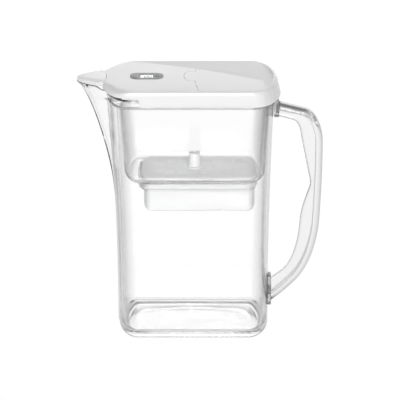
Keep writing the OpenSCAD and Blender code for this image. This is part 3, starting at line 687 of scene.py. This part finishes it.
def hopperBody():
    z0, rim, top, wall, r = hopper["floor"], hopper["rim"], hopper["flange"], hopper["wall"], hopper["round"]
    ledge, inward = hopper["ledge"], seat["ledgeIn"]
    seatRings = ((inward, ledge + wall), (inward, ledge + 0.2), (inward - 0.2, ledge), (1.6, ledge),
                 (0.5, ledge + 0.4), (0, ledge + 1.5), (0, z0 - 1.2), (-0.4, z0 - 0.3), (-1.2, z0))
    rings = [level(seatOutline(d), z) for d, z in seatRings]
    turn = [math.radians(90 * i / 6) for i in range(7)]
    for a in turn:
        z = z0 + r * (1 - math.cos(a))
        rings.append(level(hopperOutline(z, r * (1 - math.sin(a))), z))
    for z in (192, 205, 218, 231, 244, 256, rim - 0.4):
        rings.append(level(hopperOutline(z, 0), z))
    rings.append(level(hopperOutline(rim, -0.05), rim))
    for z, d in ((rim, 0.2), (rim + 0.2, 0), (top - 0.5, 0), (top, 0.5)):
        rings.append(level(flangeOutline(rim, d), z))
    rings += [level(hopperOutline(rim, wall - 0.6), top), level(hopperOutline(rim, wall), top - 0.6)]
    for z in (262, 250, 238, 226, 214, 202, 190):
        rings.append(level(hopperOutline(z, wall), z))
    inner = r - 1
    for a in turn:
        z = z0 + wall + inner * (1 - math.sin(a))
        rings.append(level(hopperOutline(z, wall + inner * (1 - math.cos(a))), z))
    for d, z in ((wall - 0.8, z0 + wall), (wall - 0.2, z0 + wall - 0.2), (wall, z0 + wall - 0.8),
                 (wall, ledge + wall + 0.6), (wall + 0.6, ledge + wall)):
        rings.append(level(seatOutline(d), z))
    return wrap(rings, joined=True)


finishPiece(hopperBody(), "hopperBody", "clearHopper", "hopper", ["hopper"], 40)
print("stage: hopper")


# A CAD node's own mesh, merged to clean faces, with its sharp edges eased
soften = {"merge": 2e-6, "flat": 1.2, "sharp": 32, "steps": 2, "near": 1e-6}


def softened(node, edge, grid, move):
    bm = bmesh.new()
    bm.from_mesh(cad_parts[node].data)
    bmesh.ops.remove_doubles(bm, verts=bm.verts, dist=soften["merge"])
    bmesh.ops.dissolve_limit(bm, angle_limit=math.radians(soften["flat"]), verts=bm.verts, edges=bm.edges)
    sharp = math.radians(soften["sharp"])
    keen = [e for e in bm.edges if len(e.link_faces) == 2 and e.calc_face_angle(0) > sharp]
    bmesh.ops.bevel(bm, geom=keen, offset=edge * mm, offset_type="OFFSET", affect="EDGES",
                    segments=soften["steps"], profile=0.5, clamp_overlap=True, material=-1)
    if grid:
        bmesh.ops.triangulate(bm, faces=[face for face in bm.faces if len(face.verts) > 4])
        low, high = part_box(node)
        for axis in (0, 1):
            count = int((high[axis] - low[axis]) / (grid * mm))
            for i in range(1, count + 1):
                spot, way = Vector((0, 0, 0)), Vector((0, 0, 0))
                spot[axis] = low[axis] + i * grid * mm
                way[axis] = 1
                bmesh.ops.bisect_plane(bm, geom=list(bm.verts) + list(bm.edges) + list(bm.faces),
                                       plane_co=spot, plane_no=way, dist=soften["near"])
    if move:
        for vert in bm.verts:
            vert.co = move(vert.co)
    return bm


display = {"x": -49.0, "digits": "120", "wide": 2.3, "tall": 6.4, "line": 0.8, "pitch": 3.5, "thick": 0.12,
           "sunk": 0.15, "foot": 0.02, "flatGap": 0.1, "uprightGap": 0.2}

# The deck is crowned a little, shaded as if it were crowned more, and rolls down beside the spout
lid = {"deck": 277.0, "x0": -96.7, "x1": 92.0, "half": 53.3, "bow": 26, "flat": 1.5, "crown": 0.35, "shade": 1.5,
       "fade": 0.6, "bendFrom": 270, "liftFrom": 276.2, "liftFull": 276.9, "hinge": (-1.5, 275.6), "pin": 1.32,
       "drop": 3.3, "dropFrom": -63, "dropFull": -86, "dropEdge": 0.78, "level": 20, "levelRun": 14, "grid": 4,
       "rim": 49, "tilt": 0.2, "tiltFrom": (-75, -60), "tiltTo": (88, 76)}


def deckLift(x, y, rise=lid["crown"]):
    along = 1 - ((x - (lid["x0"] + lid["x1"]) / 2) / ((lid["x1"] - lid["x0"]) / 2)) ** 2
    across = 1 - (y / lid["half"]) ** 2
    rim = lid["tilt"] * max(0, y - lid["rim"]) * ease(*lid["tiltFrom"], x) * ease(*lid["tiltTo"], x)
    return rise * max(0, along) ** lid["fade"] * max(0, across) + rim


def deckDrop(x, y):
    over = max(0, lid["x0"] + lid["bow"] - x) / lid["bow"]
    side = max(0, abs(y) - lid["flat"]) / (lid["half"] - lid["flat"])
    return (lid["drop"] * ease(lid["dropFrom"], lid["dropFull"], x)
            * ease(lid["dropEdge"], 1, math.hypot(over, side))
            * ease(lid["level"], lid["level"] + lid["levelRun"], abs(y)))


# Bends the lid from a height upwards, apart from the flap's pins and their bores
def crown(co):
    x, y, z = co.x / mm, co.y / mm, co.z / mm
    if z < lid["bendFrom"] or math.hypot(x - lid["hinge"][0], z - lid["hinge"][1]) < lid["pin"]:
        return co
    share = (z - lid["bendFrom"]) / (lid["deck"] - lid["bendFrom"])
    up = deckLift(x, y) * ease(lid["liftFrom"], lid["liftFull"], z) - deckDrop(x, y) * share
    return Vector((co.x, co.y, co.z + up * mm))


def deckNormals(mesh):
    found = [Vector(corner.vector) for corner in mesh.corner_normals]
    reach, level, near = 0.2, 0.96, 0.02
    for face in mesh.polygons:
        if face.normal.z < level:
            continue
        for corner in face.loop_indices:
            x, y, z = mesh.vertices[mesh.loops[corner].vertex_index].co / mm
            if abs(z - lid["deck"] - deckLift(x, y) + deckDrop(x, y)) < near:
                heights = [deckLift(x + a, y + b, lid["shade"]) - deckDrop(x + a, y + b)
                           for a, b in ((reach, 0), (-reach, 0), (0, reach), (0, -reach))]
                slopes = (heights[1] - heights[0], heights[3] - heights[2], 2 * reach)
                found[corner] = Vector(slopes).normalized()
    return found


def lifted(co):
    return co + Vector((0, 0, (deckLift(display["x"], 0) - display["sunk"]) * mm))


# By CAD node: piece, finish, body, slot, eased edge, grid and how it follows the deck
softNodes = {
    "lid_shell": ("lidShell", "lidWhite", "lid", "lid_white", 0.35, lid["grid"], "crowned"),
    "flip_lid": ("flipLid", "lidWhite", "flip_lid", "lid_white", 0.3, lid["grid"], "crowned"),
    "spout_cap": ("spoutCap", "lidWhite", "spout_cap", "lid_white", 0.3, None, None),
    "lid_liner": ("lidLiner", "linerWhite", "lid", "liner_white", 0.25, None, None),
    "cartridge_cup": ("cartridgeCup", "cartridgeWhite", "cartridge", "cartridge_white", 0.3, None, None),
    "cartridge_cap": ("cartridgeCap", "capWhite", "cartridge", "cartridge_white", 0.25, None, None),
    "cartridge_seal": ("cartridgeSeal", "paleSeal", "cartridge", "soft_seal", 0.25, None, None),
    "indicator_bezel": ("indicatorBezel", "bezelGrey", "lid", "bezel_grey", 0.15, None, "lifted"),
    "indicator_case": ("indicatorCase", "linerWhite", "lid", "liner_white", 0.25, None, None),
    "reset_button": ("resetButton", "buttonGrey", "reset_button", "button_grey", 0.2, None, "lifted"),
    "coin_cell": ("coinCell", "cellSteel", "lid", "cell_steel", 0.3, None, None),
    "circuit_board": ("circuitBoard", "boardGreen", "lid", "board_green", 0.06, None, None),
    "lcd_panel": ("lcdPanel", "lcdGlass", "lid", "lcd_glass", 0.1, None, "lifted"),
    "lcd_connector": ("lcdConnector", "softSeal", "lid", "soft_seal", 0.15, None, None),
    "indicator_lens": ("indicatorLens", "clearLens", "lid", "clear_lens", 0.12, None, "lifted"),
    "indicator_seal": ("indicatorSeal", "softSeal", "lid", "soft_seal", 0.2, None, None),
    "battery_clip": ("batteryClip", "springSteel", "lid", "spring_steel", 0.05, None, None),
    "filter_media": ("filterMedia", "granules", "cartridge", "filter_granules", 0.4, None, None),
    "upper_screen": ("upperScreen", "screenMesh", "cartridge", "screen_mesh", 0.1, None, None),
    "lower_screen": ("lowerScreen", "screenMesh", "cartridge", "screen_mesh", 0.1, None, None),
}
movers = {"crowned": crown, "lifted": lifted, None: None}
for node, (name, finish, body, slot, edge, grid, way) in softNodes.items():
    finishPiece(softened(node, edge, grid, movers[way]), name, finish, body, [node], 36,
                deckNormals if way == "crowned" else None)
print("stage: lid, cartridge and indicator")

# Painted shade: a soft near-black strip round the liner's edge beside the spout, standing in for the shadow in the
# gap under the lid, seen as a dark line under the lid
shadeStrip = {"from": 20, "end": -73.6, "over": 6, "out": 2.4, "in": 3.25, "low": 267.7, "high": 270.2,
         "handleEnd": 88.15, "handleBow": 25.15, "steps": 40}


def lidOutline(d, x):
    spots = corners(lid["x0"] + d, shadeStrip["handleEnd"] - d, lid["half"] - d, lid["bow"] - d,
                    shadeStrip["handleBow"] - d, lid["half"] - lid["flat"] - d, shadeStrip["steps"])
    return [spot for spot in spots if spot[0] < x]


for name, side in (("frontShadeStrip", -1), ("backShadeStrip", 1)):
    inner = [Vector(p) for p in lidOutline(shadeStrip["in"], shadeStrip["end"] + shadeStrip["over"])]
    low, high, rings = shadeStrip["low"], shadeStrip["high"], []
    for x, y in lidOutline(shadeStrip["out"], shadeStrip["end"]):
        if y * side > shadeStrip["from"]:
            near = min(inner, key=lambda p: (p - Vector((x, y))).length)
            rings.append([(x, y, low), (x, y, high), (near.x, near.y, high), (near.x, near.y, low)])
    finishPiece(wrap(rings), name, "paintedShadeStrip", "lid", ["lid_liner"], 40)

# Numerals under the indicator's window
segments = {"a": (0, 1, 1, 0), "b": (1, 0.5, 0, 1), "c": (1, -0.5, 0, 1), "d": (0, -1, 1, 0),
            "e": (-1, -0.5, 0, 1), "f": (-1, 0.5, 0, 1), "g": (0, 0, 1, 0)}
shapes = {"1": "bc", "2": "abged", "0": "abcdef"}
panelTop = lifted(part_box("lcd_panel")[1]).z / mm
numerals = bmesh.new()
for place, digit in enumerate(display["digits"]):
    middle = display["x"] + (place - (len(display["digits"]) - 1) / 2) * display["pitch"]
    for mark in shapes[digit]:
        u, v, flat, upright = segments[mark]
        x, y = middle + u * display["wide"] / 2, v * display["tall"] / 2
        halfX = display["wide"] / 2 - display["flatGap"] if flat else display["line"] / 2
        halfY = display["line"] / 2 if flat else display["tall"] / 4 - display["uprightGap"]
        part = block(x - halfX, x + halfX, y - halfY, y + halfY,
                     panelTop - display["foot"], panelTop + display["thick"])
        shape = bpy.data.meshes.new("mark")
        part.to_mesh(shape)
        part.free()
        numerals.from_mesh(shape)
        bpy.data.meshes.remove(shape)
finishPiece(numerals, "displayNumerals", "lcdInk", "lid", ["lcd_panel"], 40)

# Studio: a white floor and backdrop to the eye, plain soft lamps on the object
stage = {"cameraHeight": 1.6, "cameraBack": 4.0, "cameraSide": 0.0071, "lens": 360.5, "sensor": 36,
         "clipEnd": 50, "pitch": 69.93, "aim": (0, 0, 0.2), "floorHalf": 6, "floorDrop": 0.0004,
         "floorTone": (0.86, 0.86, 0.86, 1), "glow": 1.03, "seen": 0.93, "ambient": 0.31,
         "domeLow": 0.34, "domeHigh": 0.55, "domeTop": 0.3,
         "clearLow": 0.1, "clearHigh": 0.7, "clearSide": 0.9, "clearTop": 0.25, "bounces": 32}


def makeFloor():
    made = Finish("floorWhite", **{"Base Color": stage["floorTone"], "Roughness": 0.9})
    glow = made.node("ShaderNodeEmission", {}, {"Color": (1, 1, 1, 1), "Strength": stage["glow"]})
    camera = made.node("ShaderNodeLightPath", {}, {}, "Is Camera Ray")
    glossy = made.node("ShaderNodeLightPath", {}, {}, "Is Glossy Ray")
    through = made.node("ShaderNodeLightPath", {}, {}, "Is Transmission Ray")
    bounced = made.node("ShaderNodeLightPath", {}, {}, "Diffuse Depth")
    direct = camera.maths("MINIMUM", camera + glossy + through, 1.0)
    seen = direct * (1 - bounced.maths("MINIMUM", bounced, 1.0))
    made.show(made.node("ShaderNodeMixShader", {}, {0: seen * stage["seen"], 1: made.shader, 2: glow}))
    return made.material


floorMesh = bmesh.new()
bmesh.ops.create_grid(floorMesh, x_segments=8, y_segments=8, size=stage["floorHalf"])
floorData = bpy.data.meshes.new("floor")
floorMesh.to_mesh(floorData)
floorMesh.free()
floor = bpy.data.objects.new("floor", floorData)
floorData.materials.append(makeFloor())
floor.location.z = -stage["floorDrop"]
bpy.context.scene.collection.objects.link(floor)

world = bpy.data.worlds.new("studio")
world.use_nodes = True
bpy.context.scene.world = world
tree = world.node_tree
tree.nodes.clear()


def worldNode(kind, **sockets):
    made = tree.nodes.new(kind)
    for name, value in sockets.items():
        target = made.inputs[int(name[1:])] if name[0] == "s" and name[1:].isdigit() else made.inputs[name]
        if isinstance(value, bpy.types.NodeSocket):
            tree.links.new(value, target)
        else:
            target.default_value = value
    return made


# The eye sees white; gloss and clear walls see white low down and greys overhead
around = worldNode("ShaderNodeTexCoord").outputs["Generated"]
height = worldNode("ShaderNodeSeparateXYZ", Vector=around).outputs["Z"]
dome = worldNode("ShaderNodeMapRange", Value=height, s1=stage["domeLow"], s2=stage["domeHigh"],
                 s3=1.0, s4=stage["domeTop"])
dome.interpolation_type = "SMOOTHSTEP"
path = worldNode("ShaderNodeLightPath").outputs
clearDome = worldNode("ShaderNodeMapRange", Value=height, s1=stage["clearLow"], s2=stage["clearHigh"],
                      s3=stage["clearSide"], s4=stage["clearTop"])
seenDome = worldNode("ShaderNodeBackground", Strength=dome.outputs[0])
throughDome = worldNode("ShaderNodeBackground", Strength=clearDome.outputs[0])
mirrored = worldNode("ShaderNodeMixShader", s0=path["Is Transmission Ray"], s1=seenDome.outputs[0],
                     s2=throughDome.outputs[0])
lit = worldNode("ShaderNodeBackground", Strength=stage["ambient"])
white = worldNode("ShaderNodeBackground", Strength=1.0)
unseen = worldNode("ShaderNodeMixShader", s0=path["Diffuse Depth"], s1=mirrored.outputs[0], s2=lit.outputs[0])
final = worldNode("ShaderNodeMixShader", s0=path["Is Camera Ray"], s1=unseen.outputs[0], s2=white.outputs[0])
worldNode("ShaderNodeOutputWorld", Surface=final.outputs[0])
for back in (lit, white, seenDome, throughDome):
    back.inputs["Color"].default_value = (1, 1, 1, 1)

lamps = {
    "lowBack": {"spot": (0.25, 2.6, 0.95), "size": 1.3, "power": 66, "mirrored": False},
    "front": {"spot": (0.05, -2.48, 0.85), "size": 1.2, "power": 36, "mirrored": True},
    "top": {"spot": (-0.3, 0.2, 2.2), "size": 1.4, "power": 5, "mirrored": False},
}
for name, values in lamps.items():
    data = bpy.data.lights.new(name, "AREA")
    data.shape, data.size, data.energy = "DISK", values["size"], values["power"]
    lamp = bpy.data.objects.new(name, data)
    lamp.location = values["spot"]
    lamp.visible_glossy = lamp.visible_transmission = values["mirrored"]
    lamp.rotation_euler = (Vector(stage["aim"]) - lamp.location).to_track_quat("-Z", "Y").to_euler()
    bpy.context.scene.collection.objects.link(lamp)

camera = bpy.data.objects.new("camera", bpy.data.cameras.new("camera"))
camera.data.lens = stage["lens"]
camera.data.sensor_width = stage["sensor"]
camera.data.clip_end = stage["clipEnd"]
camera.location = (stage["cameraSide"], -stage["cameraBack"], stage["cameraHeight"])
camera.rotation_euler = (math.radians(stage["pitch"]), 0, 0)
bpy.context.scene.collection.objects.link(camera)
bpy.context.scene.camera = camera
bpy.context.scene.view_settings.view_transform = "Standard"
for name in ("max_bounces", "transmission_bounces", "glossy_bounces", "transparent_max_bounces"):
    setattr(bpy.context.scene.cycles, name, stage["bounces"])
print("stage: studio")

bpy.context.view_layer.update()
low, high = cadBox
